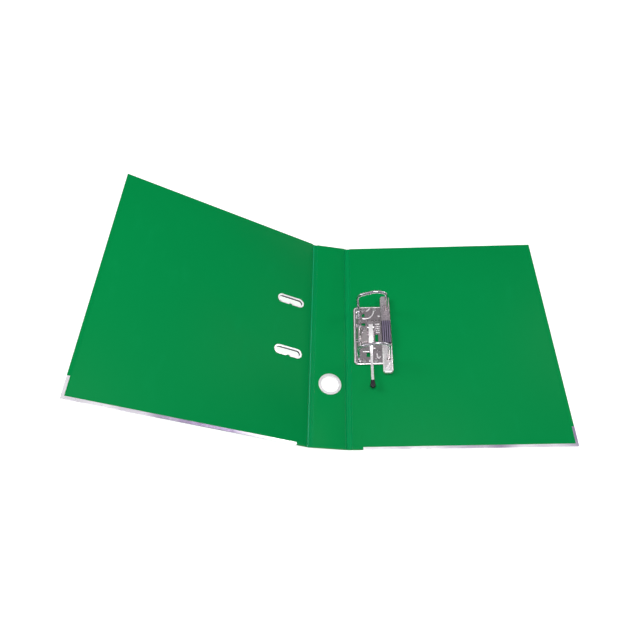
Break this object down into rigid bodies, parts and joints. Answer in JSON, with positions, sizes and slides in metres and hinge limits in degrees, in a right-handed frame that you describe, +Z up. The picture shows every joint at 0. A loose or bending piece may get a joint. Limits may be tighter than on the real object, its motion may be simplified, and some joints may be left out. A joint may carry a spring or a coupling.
{
  "type": "lever arch file",
  "caption": "Open lever arch file with board covers, hinged spine, finger ring, edge protectors and a metal lever arch mechanism with a sliding compressor bar.",
  "frame": {"origin": "on the back cover's underside, in line with its board's hinge edge and midway along the spine; the file rests on the plane z = 0", "axes": "+X from the hinge towards the back cover's free edge, +Y along the spine towards the top of the file, +Z up, out of the back cover's inside"},
  "size_m": [0.5607, 0.318, 0.1657],
  "materials": {
    "green_foil": "satin",
    "board": "matte",
    "nickel": "polished",
    "steel_zinc": "satin",
    "black_plastic": "satin",
    "clear_film": "gloss",
    "label_paper": "matte"
  },
  "bodies": {
    "back_cover": {"back_board": "board", "back_outer_skin": "green_foil", "back_inner_liner": "green_foil", "back_edge_protector": "nickel", "back_hinge_web": "green_foil", "base_plate": "nickel", "base_rivets": "steel_zinc", "post_upper": "nickel", "post_lower": "nickel", "leaf_spring": "steel_zinc", "lever_pivot_pin": "steel_zinc"},
    "spine": {"spine_board": "board", "spine_outer_skin": "green_foil", "spine_inner_liner": "green_foil", "front_hinge_web": "green_foil", "finger_ring_outer": "nickel", "finger_ring_inner": "nickel", "label_card": "label_paper", "label_pocket": "clear_film"},
    "front_cover": {"front_board": "board", "front_outer_skin": "green_foil", "front_inner_liner": "green_foil", "front_edge_protector": "nickel", "slot_eyelet_upper": "nickel", "slot_eyelet_lower": "nickel"},
    "arches": {"arch_wire": "nickel", "arch_rocker": "nickel"},
    "lever": {"lever": "nickel", "lever_tip": "black_plastic", "roller_axle": "steel_zinc"},
    "roller": {"roller": "steel_zinc"},
    "compressor": {"compressor_bar": "nickel", "bar_grip": "black_plastic"}
  },
  "joints": [
    {"name": "back_hinge", "type": "hinge", "parent": "back_cover", "child": "spine", "pos_m": [-0.0045, 0, 0.00015], "axis": [0, 1, 0], "range_deg": [-14, 76], "deforming": ["back_hinge_web"]},
    {"name": "front_hinge", "type": "hinge", "parent": "spine", "child": "front_cover", "pos_m": [-0.05301, 0, 0.01225], "axis": [0, 1, 0], "range_deg": [-19, 71], "deforming": ["front_hinge_web"]},
    {"name": "lever_pivot", "type": "hinge", "parent": "back_cover", "child": "lever", "pos_m": [0.0275, 0.01, 0.011], "axis": [1, 0, 0], "range_deg": [-80, 0]},
    {"name": "arch_swing", "type": "hinge", "parent": "back_cover", "child": "arches", "pos_m": [0.011, 0.003, 0.0067], "axis": [0, 1, 0], "range_deg": [-72, 0]},
    {"name": "roller_spin", "type": "hinge", "parent": "lever", "child": "roller", "pos_m": [0.0275, -0.004, 0.0106], "axis": [1, 0, 0], "continuous": true},
    {"name": "bar_slide", "type": "slide", "parent": "back_cover", "child": "compressor", "axis": [0, 0, 1], "range_m": [0, 0.02]}
  ],
  "couplings": [
    {"joint": "arch_swing", "follows": "lever_pivot", "ratio": 0.9}
  ]
}
